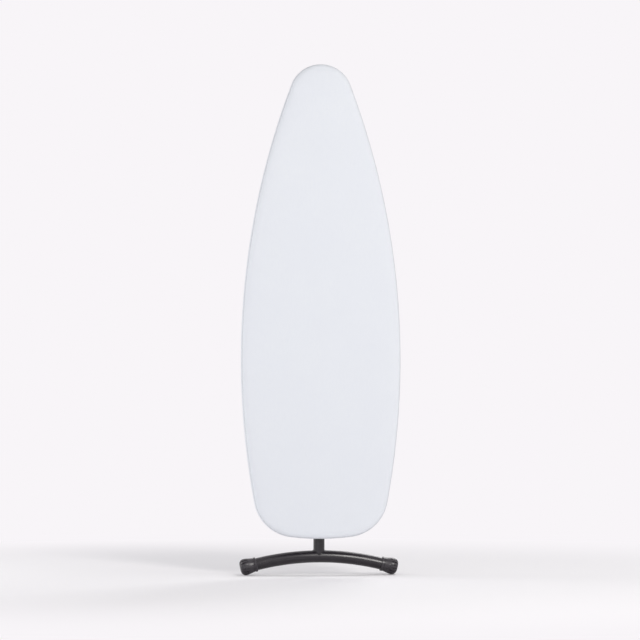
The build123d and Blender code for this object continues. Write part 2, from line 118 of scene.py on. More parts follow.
def joinCopies(pattern, places, name):
    # one modelled shape, copied to each place with a mesh of its own, then joined
    copies = []
    for place in places:
        copy = pattern.copy()
        copy.data = pattern.data.copy()
        copy.data.transform(place)
        bpy.context.collection.objects.link(copy)
        copies.append(copy)
    bpy.data.objects.remove(pattern)
    takeUp(copies[0])
    for copy in copies:
        copy.select_set(True)
    bpy.ops.object.join()
    return nameActive(name)


def finishPiece(piece, material, body):
    piece.data.materials.clear()
    piece.data.materials.append(material)
    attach(piece, body)


# materials

bandUnit = 0.314        # the bands of a wave texture of scale 1 are this many metres apart


def linear(hexColour):
    channels = [int(hexColour[i:i + 2], 16) / 255 for i in (1, 3, 5)]
    return [c / 12.92 if c < 0.04045 else ((c + 0.055) / 1.055) ** 2.4 for c in channels] + [1.0]


def addNode(tree, kind, inputs=None, **settings):
    node = tree.nodes.new(kind)
    for name, value in settings.items():
        setattr(node, name, value)
    for socket, value in (inputs or {}).items():
        if isinstance(value, bpy.types.NodeSocket):
            tree.links.new(value, node.inputs[socket])
        else:
            node.inputs[socket].default_value = value
    return node


def startMaterial(name):
    material = bpy.data.materials.new(name)
    material.use_nodes = True
    tree = material.node_tree
    return material, tree, tree.nodes["Principled BSDF"]


def cottonCover():
    # plain-woven cotton, washed: matt, a soft bloom at the edges, slubs that vary the tone a little
    look = {"light": "#e2e5ea", "shade": "#e0e3e9", "threadMm": 1.6, "slubMm": 6, "cloudMm": 170}
    material, tree, shader = startMaterial("cottonCover")
    cut = addNode(tree, "ShaderNodeUVMap", uv_map="cut")
    # real threads are 0.4 mm apart, drawn four times as coarse so that the weave shows at all
    perMetre = 1 / (look["threadMm"] * mm)
    waves = []
    for direction in ("X", "Y"):
        wave = addNode(tree, "ShaderNodeTexWave", {"Vector": cut.outputs["UV"], "Scale": perMetre * bandUnit,
                       "Distortion": 0.6, "Detail": 1.0, "Detail Scale": 1.5},
                       wave_type="BANDS", bands_direction=direction, wave_profile="SIN")
        waves.append(wave.outputs["Fac"])
    weave = addNode(tree, "ShaderNodeMath", {0: waves[0], 1: waves[1]}, operation="MAXIMUM")
    stretched = addNode(tree, "ShaderNodeMapping", {"Vector": cut.outputs["UV"], "Scale": (1.0, 0.3, 1.0)})
    slubs = addNode(tree, "ShaderNodeTexNoise", {"Vector": stretched.outputs["Vector"],
                    "Scale": 1 / (look["slubMm"] * mm), "Detail": 3.0, "Roughness": 0.55})
    clouds = addNode(tree, "ShaderNodeTexNoise", {"Vector": cut.outputs["UV"],
                     "Scale": 1 / (look["cloudMm"] * mm), "Detail": 2.0})
    tone = addNode(tree, "ShaderNodeMath", {0: slubs.outputs["Fac"], 1: clouds.outputs["Fac"]},
                   operation="MULTIPLY")
    spread = addNode(tree, "ShaderNodeMapRange", {"Value": tone.outputs[0],
                     "From Min": 0.12, "From Max": 0.42})
    colour = addNode(tree, "ShaderNodeMix", {0: spread.outputs["Result"], 6: linear(look["shade"]),
                     7: linear(look["light"])}, data_type="RGBA")
    threads = addNode(tree, "ShaderNodeBump", {"Strength": 0.25, "Distance": 0.0003,
                      "Height": weave.outputs[0]})
    soft = addNode(tree, "ShaderNodeBump", {"Strength": 0.5, "Distance": 0.004,
                   "Height": clouds.outputs["Fac"], "Normal": threads.outputs["Normal"]})
    tree.links.new(colour.outputs[2], shader.inputs["Base Color"])
    tree.links.new(soft.outputs["Normal"], shader.inputs["Normal"])
    shader.inputs["Roughness"].default_value = 0.88
    shader.inputs["IOR"].default_value = 1.47
    shader.inputs["Specular IOR Level"].default_value = 0.25
    shader.inputs["Sheen Weight"].default_value = 0.12
    shader.inputs["Sheen Roughness"].default_value = 0.5
    return material


def needledFelt():
    # needled polyester felt: matt, hairy, flecked with recycled darker fibres
    look = {"light": "#d9d6cc", "dark": "#a9a79f", "fibreMm": 2.2, "tuftMm": 14}
    material, tree, shader = startMaterial("needledFelt")
    place = addNode(tree, "ShaderNodeTexCoord")
    # the fibres are finer than a hair, drawn 2 mm apart so that they show
    fibres = addNode(tree, "ShaderNodeTexNoise", {"Vector": place.outputs["Object"],
                     "Scale": 1 / (look["fibreMm"] * mm), "Detail": 5.0, "Roughness": 0.7, "Distortion": 1.2})
    tufts = addNode(tree, "ShaderNodeTexNoise", {"Vector": place.outputs["Object"],
                    "Scale": 1 / (look["tuftMm"] * mm), "Detail": 2.0})
    spread = addNode(tree, "ShaderNodeMapRange", {"Value": fibres.outputs["Fac"],
                     "From Min": 0.35, "From Max": 0.6})
    colour = addNode(tree, "ShaderNodeMix", {0: spread.outputs["Result"], 6: linear(look["dark"]),
                     7: linear(look["light"])}, data_type="RGBA")
    height = addNode(tree, "ShaderNodeMath", {0: fibres.outputs["Fac"], 1: tufts.outputs["Fac"]},
                     operation="ADD")
    rough = addNode(tree, "ShaderNodeBump", {"Strength": 0.6, "Distance": 0.0012,
                    "Height": height.outputs[0]})
    tree.links.new(colour.outputs[2], shader.inputs["Base Color"])
    tree.links.new(rough.outputs["Normal"], shader.inputs["Normal"])
    shader.inputs["Roughness"].default_value = 0.95
    shader.inputs["Specular IOR Level"].default_value = 0.15
    shader.inputs["Sheen Weight"].default_value = 0.2
    return material


def coatedSteel(name, look):
    # powder coat baked on steel: an even colour, orange-peel waves, paler scuffs here and there
    material, tree, shader = startMaterial(name)
    place = addNode(tree, "ShaderNodeTexCoord")
    peel = addNode(tree, "ShaderNodeTexNoise", {"Vector": place.outputs["Object"],
                   "Scale": 1 / (look["peelMm"] * mm), "Detail": 1.0, "Roughness": 0.4})
    tone = addNode(tree, "ShaderNodeTexNoise", {"Vector": place.outputs["Object"],
                   "Scale": 1 / (look["toneMm"] * mm), "Detail": 4.0, "Roughness": 0.6})
    even = addNode(tree, "ShaderNodeMix", {0: tone.outputs["Fac"], 6: linear(look["deep"]),
                   7: linear(look["light"])}, data_type="RGBA")
    along = addNode(tree, "ShaderNodeMapping", {"Vector": place.outputs["Object"], "Scale": (1.0, 1.0, 0.3)})
    scratches = addNode(tree, "ShaderNodeTexNoise", {"Vector": along.outputs["Vector"],
                        "Scale": 1 / (look["scuffMm"] * mm), "Detail": 6.0, "Roughness": 0.75})
    worn = addNode(tree, "ShaderNodeMapRange", {"Value": scratches.outputs["Fac"], "From Min": 0.66,
                   "From Max": 0.78, "To Max": look["wear"]})
    colour = addNode(tree, "ShaderNodeMix", {0: worn.outputs["Result"], 6: even.outputs[2],
                     7: linear(look["scuff"])}, data_type="RGBA")
    gloss = addNode(tree, "ShaderNodeMapRange", {"Value": tone.outputs["Fac"],
                    "From Min": 0.3, "From Max": 0.7, "To Min": look["smooth"], "To Max": look["rough"]})
    bump = addNode(tree, "ShaderNodeBump", {"Strength": 0.12, "Distance": 0.0004,
                   "Height": peel.outputs["Fac"]})
    tree.links.new(colour.outputs[2], shader.inputs["Base Color"])
    tree.links.new(gloss.outputs["Result"], shader.inputs["Roughness"])
    tree.links.new(bump.outputs["Normal"], shader.inputs["Normal"])
    shader.inputs["IOR"].default_value = 1.5
    return material


def mouldedPlastic(name, look):
    # injection-moulded polypropylene or nylon: waxy, spark-eroded grain, slightly greyed in patches
    material, tree, shader = startMaterial(name)
    place = addNode(tree, "ShaderNodeTexCoord")
    # the grain of the mould is about 0.1 mm, drawn coarser so that it shows
    grain = addNode(tree, "ShaderNodeTexNoise", {"Vector": place.outputs["Object"],
                    "Scale": 1 / (look["grainMm"] * mm), "Detail": 3.0, "Roughness": 0.6})
    dust = addNode(tree, "ShaderNodeTexNoise", {"Vector": place.outputs["Object"],
                   "Scale": 1 / (look["dustMm"] * mm), "Detail": 4.0, "Roughness": 0.65})
    spread = addNode(tree, "ShaderNodeMapRange", {"Value": dust.outputs["Fac"],
                     "From Min": 0.3, "From Max": 0.75})
    colour = addNode(tree, "ShaderNodeMix", {0: spread.outputs["Result"], 6: linear(look["deep"]),
                     7: linear(look["light"])}, data_type="RGBA")
    gloss = addNode(tree, "ShaderNodeMapRange", {"Value": dust.outputs["Fac"],
                    "From Min": 0.3, "From Max": 0.7, "To Min": look["smooth"], "To Max": look["rough"]})
    bump = addNode(tree, "ShaderNodeBump", {"Strength": 0.2, "Distance": 0.0003,
                   "Height": grain.outputs["Fac"]})
    tree.links.new(colour.outputs[2], shader.inputs["Base Color"])
    tree.links.new(gloss.outputs["Result"], shader.inputs["Roughness"])
    tree.links.new(bump.outputs["Normal"], shader.inputs["Normal"])
    shader.inputs["IOR"].default_value = 1.49
    return material


def bareSteel(name, look):
    # plated or oiled steel: drawn lines along the wire, a cloudy plating that varies the gloss
    material, tree, shader = startMaterial(name)
    place = addNode(tree, "ShaderNodeTexCoord")
    # the lines of the draw are about 0.1 mm apart, drawn coarser so that they show
    drawn = addNode(tree, "ShaderNodeMapping", {"Vector": place.outputs["Object"], "Scale": look["drawn"]})
    lines = addNode(tree, "ShaderNodeTexNoise", {"Vector": drawn.outputs["Vector"],
                    "Scale": 1 / (look["lineMm"] * mm), "Detail": 3.0, "Roughness": 0.6})
    cloud = addNode(tree, "ShaderNodeTexNoise", {"Vector": place.outputs["Object"],
                    "Scale": 1 / (look["cloudMm"] * mm), "Detail": 4.0, "Roughness": 0.6})
    colour = addNode(tree, "ShaderNodeMix", {0: cloud.outputs["Fac"], 6: linear(look["deep"]),
                     7: linear(look["light"])}, data_type="RGBA")
    gloss = addNode(tree, "ShaderNodeMapRange", {"Value": cloud.outputs["Fac"],
                    "From Min": 0.3, "From Max": 0.7, "To Min": look["smooth"], "To Max": look["rough"]})
    bump = addNode(tree, "ShaderNodeBump", {"Strength": 0.1, "Distance": 0.0002,
                   "Height": lines.outputs["Fac"]})
    tree.links.new(colour.outputs[2], shader.inputs["Base Color"])
    tree.links.new(gloss.outputs["Result"], shader.inputs["Roughness"])
    tree.links.new(bump.outputs["Normal"], shader.inputs["Normal"])
    shader.inputs["Metallic"].default_value = 1.0
    return material


def spunThread():
    # spun polyester sewing thread: slightly glossier than the cloth, twisted, with painted shade in the
    # grooves between the plies
    look = {"light": "#eef0f5", "dark": "#cfd4df", "twistMm": 0.9}
    material, tree, shader = startMaterial("spunThread")
    place = addNode(tree, "ShaderNodeTexCoord")
    # the plies are 0.4 mm apart, drawn twice as coarse so that the painted shade between them shows
    plyGrooveShade = addNode(tree, "ShaderNodeTexWave", {"Vector": place.outputs["Object"],
                    "Scale": bandUnit / (look["twistMm"] * mm)}, bands_direction="DIAGONAL")
    # the dark colour is painted shade, laid into the bands between the twisted plies
    colour = addNode(tree, "ShaderNodeMix", {0: plyGrooveShade.outputs["Fac"], 6: linear(look["dark"]),
                     7: linear(look["light"])}, data_type="RGBA")
    tree.links.new(colour.outputs[2], shader.inputs["Base Color"])
    shader.inputs["Roughness"].default_value = 0.6
    shader.inputs["Sheen Weight"].default_value = 0.1
    return material


charcoalLook = {"deep": "#19151a", "light": "#221d23", "scuff": "#5b595c", "peelMm": 2.6, "toneMm": 60,
                "scuffMm": 8, "wear": 0.3, "smooth": 0.16, "rough": 0.28}
greyLook = {"deep": "#a3a4a6", "light": "#b2b3b5", "scuff": "#c9c9c8", "peelMm": 2.2, "toneMm": 80,
            "scuffMm": 10, "wear": 0.4, "smooth": 0.4, "rough": 0.52}
blackLook = {"deep": "#2a262b", "light": "#3a363b", "grainMm": 0.9, "dustMm": 16, "smooth": 0.24,
             "rough": 0.36}
naturalLook = {"deep": "#d6d0bd", "light": "#e6e1d2", "grainMm": 1.2, "dustMm": 14, "smooth": 0.36,
               "rough": 0.48}
zincLook = {"deep": "#9a9b9d", "light": "#c3c4c4", "drawn": (1, 1, 0.08), "lineMm": 1.2, "cloudMm": 12,
            "smooth": 0.24, "rough": 0.42}
springLook = {"deep": "#5c5c61", "light": "#83838a", "drawn": (0.1, 1, 1), "lineMm": 1.0, "cloudMm": 9,
              "smooth": 0.22, "rough": 0.4}

finishes = {
    "cover_cloth": cottonCover(),
    "pad_felt": needledFelt(),
    "sheet_paint": coatedSteel("greyBakedPaint", greyLook),
    "frame_paint": coatedSteel("charcoalPowderCoat", charcoalLook),
    "black_plastic": mouldedPlastic("blackPolypropylene", blackLook),
    "nylon": mouldedPlastic("naturalNylon", naturalLook),
    "zinc_steel": bareSteel("zincPlatedSteel", zincLook),
    "spring_steel": bareSteel("oiledSpringSteel", springLook),
    "thread": spunThread(),
}
finishes["elastic"] = finishes["cover_cloth"]

for subpart in frame["record"]["subparts"]:
    node = frame["nodes"][subpart["node"]]
    node.data.materials.clear()
    node.data.materials.append(finishes[subpart["material_slot"]])
print("materials made:", len(bpy.data.materials))


# outline of the covered top, as tangent arcs round the board

boardShape = {"sideRadiusMm": 2200, "endRadiusMm": 700, "cornerRadiusMm": 120, "widestFromNoseMm": 840}


def boardArcs():
    half, base, nose = coverHigh.x / mm, coverLow.z / mm, coverHigh.z / mm
    side, end = boardShape["sideRadiusMm"], boardShape["endRadiusMm"]
    corner, widest = boardShape["cornerRadiusMm"], boardShape["widestFromNoseMm"]
    sideX, sideZ = half - side, nose - widest
    noseRadius = (side**2 - widest**2 - sideX**2) / (2 * (side - widest))
    noseZ = nose - noseRadius
    endZ = base + end
    # centre of the corner arc, which touches both the side and the end
    reachSide, reachEnd = side - corner, end - corner
    gap = Vector((-sideX, endZ - sideZ))
    along = (reachSide**2 - reachEnd**2 + gap.length**2) / (2 * gap.length)
    aside = sqrt(reachSide**2 - along**2)
    ahead = gap.normalized()
    cornerX = sideX + ahead.x * along + ahead.y * aside
    cornerZ = sideZ + ahead.y * along - ahead.x * aside
    noseTurn = atan2(noseZ - sideZ, -sideX)
    sideTurn = atan2(cornerZ - sideZ, cornerX - sideX)
    endTurn = atan2(cornerZ - endZ, cornerX)
    right = [(0, endZ, end, -pi / 2, endTurn), (cornerX, cornerZ, corner, endTurn, sideTurn),
             (sideX, sideZ, side, sideTurn, noseTurn), (0, noseZ, noseRadius, noseTurn, pi / 2)]
    left = [(-x, z, radius, pi - finish, pi - start) for x, z, radius, start, finish in reversed(right)]
    return right + left


boardEdge = boardArcs()
wayRound = sum(radius * (finish - start) for x, z, radius, start, finish in boardEdge)
edgeLength = round(wayRound)


def boardStations(count):
    # evenly spaced along the edge: arc centre, outward direction, radius, way round in mm
    stations = []
    for index in range(count):
        way = rest = wayRound * index / count
        for x, z, radius, start, finish in boardEdge:
            length = radius * (finish - start)
            if rest <= length:
                turn = start + rest / radius
                stations.append((Vector((x, z)), Vector((cos(turn), sin(turn))), radius, way))
                break
            rest -= length
    return stations


def stationPoint(station, inset, depth):
    centre, outward, radius, way = station
    flat = centre + outward * (radius - inset)
    return Vector((flat.x * mm, frontY + depth * mm, flat.y * mm))


def bandAround(name, stations, profile, bend=None):
    # a ring of vertices at the first step of the profile, extruded step by step along the rest
    deselectAll()
    bpy.ops.mesh.primitive_circle_add(vertices=len(stations), radius=coverHigh.x, fill_type="NOTHING")
    piece = nameActive(name)
    bpy.ops.object.mode_set(mode="EDIT")
    bpy.ops.mesh.select_mode(type="VERT")
    form = bmesh.from_edit_mesh(piece.data)
    form.verts.layers.int.new("station")
    form.verts.layers.float.new("run")
    label = form.verts.layers.int["station"]
    for index, vertex in enumerate(form.verts):
        vertex[label] = index
    walked = 0.0
    for step, (inset, depth) in enumerate(profile):
        if step:
            walked += hypot(inset - profile[step - 1][0], depth - profile[step - 1][1])
            bpy.ops.mesh.extrude_region()
            form = bmesh.from_edit_mesh(piece.data)
            label = form.verts.layers.int["station"]
        run = form.verts.layers.float["run"]
        for vertex in form.verts:
            if vertex.select:
                station = stations[vertex[label]]
                place = bend(station, inset, depth) if bend else (inset, depth)
                vertex.co = stationPoint(station, *place)
                vertex[run] = walked
        bmesh.update_edit_mesh(piece.data)
    bpy.ops.object.mode_set(mode="OBJECT")
    return piece, walked


def fillRing(piece, runValue):
    # closes the ring of vertices that lies this far along the profile
    takeUp(piece)
    bpy.ops.object.mode_set(mode="EDIT")
    bpy.ops.mesh.select_all(action="DESELECT")
    form = bmesh.from_edit_mesh(piece.data)
    run = form.verts.layers.float["run"]
    for edge in form.edges:
        edge.select = all(abs(vertex[run] - runValue) < 1e-4 for vertex in edge.verts)
    form.select_flush(True)
    bmesh.update_edit_mesh(piece.data)
    bpy.ops.mesh.edge_face_add()
    bpy.ops.object.mode_set(mode="OBJECT")


print("outline ready, edge length", edgeLength, "mm")


# fitted cotton cover with a gathered hem

coverCloth = {
    "stations": 1240,
    "thickMm": 0.9,
    # the edge in section, a ring of the mesh for each pair: inset from the outline, depth behind the face
    "face": [(60, 0), (40, 0.1), (27, 0.4), (18, 1.0), (11.5, 2.2), (7, 4.0), (3.8, 6.6), (1.6, 9.8)],
    "wall": [(0.4, 13.4), (0, 17), (0, 20.6), (0, 23.5), (0.15, 25.0), (0.6, 26.3), (1.5, 27.3), (2.8, 27.7)],
    "hem": [(5, 27.8), (9, 27.8), (14, 27.8), (20, 27.75), (25, 27.6), (28, 27.35)],
    "casing": [(29.3, 28.0), (31.3, 28.8), (33.8, 29.1), (36, 28.8), (37.5, 28.1), (38, 27.5), (37.3, 26.9),
               (34, 26.8), (30, 26.8)],
    "seamInsetMm": 28,
    "noseGatherMm": 14,      # one gather to the next where the edge is tightest
    "sideGatherMm": 25,
    "tightRadiusMm": 95,     # an edge of this radius counts as tightest
    "evenOutMm": 45,         # the tightness is averaged over this much of the edge, either way
    "driftWaves": 7,         # sines that make the spacing and the strength uneven
    "driftCounts": (20, 110),
    "drift": 0.9,
    "gatherMm": 3.8,
    "sideStrength": 0.5,     # of the gathers along the straighter sides
    "evenStrength": 0.8,
    "driftStrength": 0.6,
    "gatherPower": 1.4,      # above 1 the crests are narrower than the hollows
    "growMm": (2, 26),       # across the back the gathers grow between these insets
    "ruffleMm": 0.6,
    "ruffleShift": 0.8,
    "scallopMm": 1.3,
    "wallMm": (6, 26),       # depths between which the side bulges a little over the gathers
    "bulgeMm": 0.35,
    "gripClearMm": 60,       # the hem lies flat this close to the lever's grip
    "gripFadeMm": 50,
    "seed": 11,
}


def gatherTable():
    # how strongly and at what point of its wave the hem is gathered, for each millimetre of the edge
    chance = random.Random(coverCloth["seed"])
    stations = boardStations(edgeLength)
    tightness = [min(1.0, coverCloth["tightRadiusMm"] / radius) for centre, outward, radius, way in stations]
    reach, waves = coverCloth["evenOutMm"], coverCloth["driftWaves"]
    smooth = [sum(tightness[(i + k) % edgeLength] for k in range(-reach, reach)) / (2 * reach)
              for i in range(edgeLength)]
    drift = [(chance.randint(*coverCloth["driftCounts"]), chance.uniform(0, 2 * pi)) for k in range(waves)]
    gripLow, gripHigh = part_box("lever_grip")
    grip = Vector(((gripLow.x + gripHigh.x) / 2 / mm, (gripLow.z + gripHigh.z) / 2 / mm))
    phase, table = 0.0, []
    for i, tight in enumerate(smooth):
        wander = sum(sin(2 * pi * count * i / edgeLength + shift) for count, shift in drift) / waves
        spacing = coverCloth["sideGatherMm"] * (1 - tight) + coverCloth["noseGatherMm"] * tight
        phase += (1 + coverCloth["drift"] * wander) / spacing
        centre, outward, radius, way = stations[i]
        # flat where the squeezed lever comes down on the hem
        apart = (centre + outward * radius - grip).length
        room = min(1.0, max(0.0, (apart - coverCloth["gripClearMm"]) / coverCloth["gripFadeMm"]))
        strength = coverCloth["sideStrength"] + (1 - coverCloth["sideStrength"]) * tight
        uneven = coverCloth["evenStrength"] + coverCloth["driftStrength"] * wander
        table.append((phase, room * strength * uneven))
    whole = round(phase) / phase
    return [(turns * whole, strength) for turns, strength in table]


gathers = gatherTable()


def gathered(station, inset, depth):
    # where a point of the smooth profile goes to in the gathered cloth
    wallTop, wallFoot = coverCloth["wallMm"]
    if depth < wallTop:
        return inset, depth
    way = int(station[3])
    turns, strength = gathers[way % edgeLength]
    nextTurns = gathers[(way + 1) % edgeLength][0]
    turns += (station[3] - way) * max(0, nextTurns - turns)
    wave = (0.5 + 0.5 * sin(2 * pi * turns)) ** coverCloth["gatherPower"]
    if depth < wallFoot:
        pull = (depth - wallTop) / (wallFoot - wallTop)
        return inset - coverCloth["bulgeMm"] * pull * strength * wave, depth
    growFrom, growTo = coverCloth["growMm"]
    climb = min(1.0, max(0.0, (inset - growFrom) / (growTo - growFrom)))
    climb = climb * climb * (3 - 2 * climb)
    lift = coverCloth["gatherMm"] * climb * strength * wave
    if inset > coverCloth["seamInsetMm"]:
        ruffle = sin(4 * pi * turns + coverCloth["ruffleShift"])
        lift += coverCloth["ruffleMm"] * (1 + ruffle) * strength
        inset += coverCloth["scallopMm"] * (wave - 0.5) * strength
    return inset, depth + lift


coverProfile = coverCloth["face"] + coverCloth["wall"] + coverCloth["hem"] + coverCloth["casing"]
clothStations = boardStations(coverCloth["stations"])
cloth, clothRun = bandAround("clothCover", clothStations, coverProfile, gathered)
fillRing(cloth, 0.0)
outwardFaces(cloth)

# the flat pattern of the cut cloth, in metres, carries the weave
stationOf = cloth.data.attributes["station"].data
runOf = cloth.data.attributes["run"].data
cutMap = cloth.data.uv_layers.new(name="cut")
for loop in cloth.data.loops:
    centre, outward, radius, way = clothStations[stationOf[loop.vertex_index].value]
    reach = radius - coverProfile[0][0] + runOf[loop.vertex_index].value
    flat = centre + outward * reach
    cutMap.data[loop.index].uv = (flat.x * mm, flat.y * mm)
thick = cloth.modifiers.new("cloth", "SOLIDIFY")
thick.thickness = coverCloth["thickMm"] * mm
thick.offset = -1
applyModifiers(cloth)
bpy.ops.object.shade_smooth()
finishPiece(cloth, finishes["cover_cloth"], "board")
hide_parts("cover", "hem_elastic")
print("cover sewn,", len(cloth.data.polygons), "faces")


# lock stitches along the casing seam
hemSeam = {"pitchMm": 3.7, "stitchMm": 2.7, "threadMm": 0.32, "roundMm": 0.15, "besideMm": 0.8,
           "depthMm": 27.4, "proudMm": 0.12}
deselectAll()
bpy.ops.mesh.primitive_cylinder_add(vertices=6, radius=hemSeam["threadMm"] * mm,
                                    depth=hemSeam["stitchMm"] * mm, rotation=(0, pi / 2, 0))
stitch = nameActive("hemStitch")
applyPlace(stitch)
bpy.ops.object.mode_set(mode="EDIT")
bpy.ops.mesh.select_all(action="SELECT")
bpy.ops.mesh.bevel(offset=hemSeam["roundMm"] * mm, segments=1)
bpy.ops.object.mode_set(mode="OBJECT")
bpy.ops.object.shade_smooth()
seam = coverCloth["seamInsetMm"] - hemSeam["besideMm"]
seamPoints = [stationPoint(station, *gathered(station, seam, hemSeam["depthMm"]))
              for station in boardStations(round(edgeLength / hemSeam["pitchMm"]))]
stitchPlaces = []
for here, ahead in zip(seamPoints, seamPoints[1:] + seamPoints[:1]):
    middle = (here + ahead) / 2 + Vector((0, hemSeam["proudMm"] * mm, 0))
    turn = (ahead - here).to_track_quat("X", "Y")
    stitchPlaces.append(Matrix.Translation(middle) @ turn.to_matrix().to_4x4())
stitches = joinCopies(stitch, stitchPlaces, "hemStitches")
finishPiece(stitches, finishes["thread"], "board")


# felt underlay
feltPad = {
    "stations": 420,
    "edge": [(70, 1.55), (34, 1.7), (22, 2.3), (14, 3.4), (9, 5.0), (5.6, 6.9), (4.2, 8.0), (5.0, 8.4),
             (8, 8.42)],
}
pad, padRun = bandAround("feltPad", boardStations(feltPad["stations"]), feltPad["edge"])
fillRing(pad, 0.0)
fillRing(pad, padRun)
outwardFaces(pad)
smoothByAngle(pad, 40)
finishPiece(pad, finishes["pad_felt"], "board")
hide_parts("foam_pad")
print("pad laid")


# expanded steel sheet: fine diamonds inside a plain border
steelSheet = {
    "pitchXMm": 11, "pitchZMm": 25, "spareCells": 4,
    "strandMm": 2.2, "thickMm": 1.5, "strandShare": 0.9,      # strands a little thinner than the border
    "edgeMm": 2, "borderMm": 24, "lapMm": 2, "depthMm": 8.5, "stations": 420,
}
sheetLow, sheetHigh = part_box("mesh_top")
sheetMiddleY = (sheetLow.y + sheetHigh.y) / 2


def insideBoard(point, insetMm):
    # inside every arc whose sector the point lies in
    for x, z, radius, start, finish in boardEdge:
        away = Vector((point.x / mm - x, point.z / mm - z))
        turn = atan2(away.y, away.x)
        if turn < -pi / 2 - 1e-6:
            turn += 2 * pi
        if start <= turn <= finish and away.length > radius - insetMm:
            return False
    return True


columns = 2 * sheetHigh.x / mm / steelSheet["pitchXMm"]
rows = (sheetHigh.z - sheetLow.z) / mm / steelSheet["pitchZMm"]
cells = int(columns + rows) + steelSheet["spareCells"]
deselectAll()
bpy.ops.mesh.primitive_grid_add(x_subdivisions=cells, y_subdivisions=cells, size=cells,
                                rotation=(0, 0, pi / 4))
strands = nameActive("sheetStrands")
applyPlace(strands)
strands.rotation_euler = (pi / 2, 0, 0)
strands.scale = (steelSheet["pitchXMm"] * mm / sqrt(2), steelSheet["pitchZMm"] * mm / sqrt(2), 1)
strands.location = (0, sheetMiddleY, (sheetLow.z + sheetHigh.z) / 2)
applyPlace(strands)
bpy.ops.object.mode_set(mode="EDIT")
bpy.ops.mesh.select_mode(type="FACE")
form = bmesh.from_edit_mesh(strands.data)
for face in form.faces:
    middle = face.calc_center_median()
    outside = abs(middle.x) > sheetHigh.x or not sheetLow.z < middle.z < sheetHigh.z
    face.select = outside or not insideBoard(middle, steelSheet["borderMm"] - steelSheet["lapMm"])
bmesh.update_edit_mesh(strands.data)
bpy.ops.mesh.delete(type="FACE")
bpy.ops.object.mode_set(mode="OBJECT")
wire = strands.modifiers.new("strands", "WIREFRAME")
wire.thickness = steelSheet["strandMm"] * mm
wire.use_even_offset = False
applyModifiers(strands)
bpy.ops.object.mode_set(mode="EDIT")
bpy.ops.mesh.select_all(action="SELECT")
flatten = steelSheet["strandShare"] * steelSheet["thickMm"] / steelSheet["strandMm"]
bpy.ops.transform.resize(value=(1, flatten, 1), center_override=(0, sheetMiddleY, 0))
bpy.ops.object.mode_set(mode="OBJECT")
borderProfile = [(steelSheet[inset], steelSheet["depthMm"]) for inset in ("edgeMm", "borderMm")]
border = bandAround("sheetBorder", boardStations(steelSheet["stations"]), borderProfile)[0]
edgeThick = border.modifiers.new("sheet", "SOLIDIFY")
edgeThick.thickness = steelSheet["thickMm"] * mm
edgeThick.offset = 1
applyModifiers(border)
takeUp(strands)
border.select_set(True)
bpy.ops.object.join()
steel = nameActive("expandedSheet")
finishPiece(steel, finishes["sheet_paint"], "board")
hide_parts("mesh_top")
print("sheet expanded,", len(steel.data.polygons), "faces")


# weld beads, rivets and spot welds of the frame

welds = {
    "barRadius": 17.5, "legRadius": 16, "hingeRadius": 10,      # of the tubes, in mm
    "rearBow": 755.8, "frontBow": 321.1,                        # radii that the foot bars are bent to
    "crossZ": 628.5, "twinX": 65,
    "sides": 8, "scales": 4, "thin": 0.9, "swell": 0.25,
}
legSeam = {"ringMm": 16.4, "beadMm": 1.9, "steps": 72}
twinSeam = {"ringMm": 11.3, "beadMm": 1.5, "steps": 56}
sleeveSeam = {"ringMm": 7.3, "beadMm": 1.2, "steps": 48}
hingeSeam = {"beadMm": 1.5, "steps": 40}
legLow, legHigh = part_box("inner_leg_tube")
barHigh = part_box("inner_foot_bar")[1]
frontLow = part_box("outer_foot_bar")[0]
hingeLow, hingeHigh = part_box("hinge_tube")
legY = (legLow.y + legHigh.y) / 2 / mm
hingeZ = (hingeLow.z + hingeHigh.z) / 2 / mm
hingeY = hingeLow.y / mm + welds["hingeRadius"]


def weldBead(name, seam, body, place):
    # a torus whose rings are set along the closed seam, with the overlapping scales of a hand weld
    steps, sides, scales = seam["steps"], welds["sides"], welds["scales"]
    path = [place(cos(2 * pi * i / steps), sin(2 * pi * i / steps)) for i in range(steps)]
    deselectAll()
    bpy.ops.mesh.primitive_torus_add(major_segments=steps, minor_segments=sides)
    bead = nameActive(name)
    middle = sum(path, Vector()) / steps
    for index, centre in enumerate(path):
        ahead = (path[(index + 1) % steps] - path[index - 1]).normalized()
        away = centre - middle
        away = (away - ahead * away.dot(ahead)).normalized()
        aside = ahead.cross(away)
        thick = seam["beadMm"] * mm * (welds["thin"] + welds["swell"] * (index % scales) / scales)
        for corner in range(sides):
            turn = 2 * pi * corner / sides
            spoke = away * cos(turn) + aside * sin(turn)
            bead.data.vertices[index * sides + corner].co = centre + spoke * thick
    outwardFaces(bead)
    bpy.ops.object.shade_smooth()
    finishPiece(bead, finishes["frame_paint"], body)


def onBar(x, y, topZ, bow, way):
    # on the bowed bar, over a point of the floor plan; way is 1 for its top, -1 for its underside
    drop = bow - sqrt(bow**2 - x**2)
    over = welds["barRadius"] - sqrt(max(welds["barRadius"] ** 2 - y**2, 0))
    return Vector((x * mm, (legY + y) * mm, topZ - way * (drop + over) * mm))


def onLegFoot(c, s):
    ring = legSeam["ringMm"]
    return onBar(ring * c, ring * s, barHigh.z, welds["rearBow"], 1)


def onTwinFoot(side):
    x, ring = side * welds["twinX"], twinSeam["ringMm"]
    return lambda c, s: onBar(x + ring * c, ring * s, frontLow.z, welds["frontBow"], -1)


def onSleeve(side):
    # where the sleeve comes out of the side of the leg
    ring, leg = sleeveSeam["ringMm"], welds["legRadius"]
    return lambda c, s: Vector((side * sqrt(leg**2 - (ring * c) ** 2) * mm, (legY + ring * c) * mm,
                                (welds["crossZ"] + ring * s) * mm))


hingeHalfX = sqrt(welds["legRadius"] ** 2 - (legY - hingeY - welds["hingeRadius"]) ** 2)


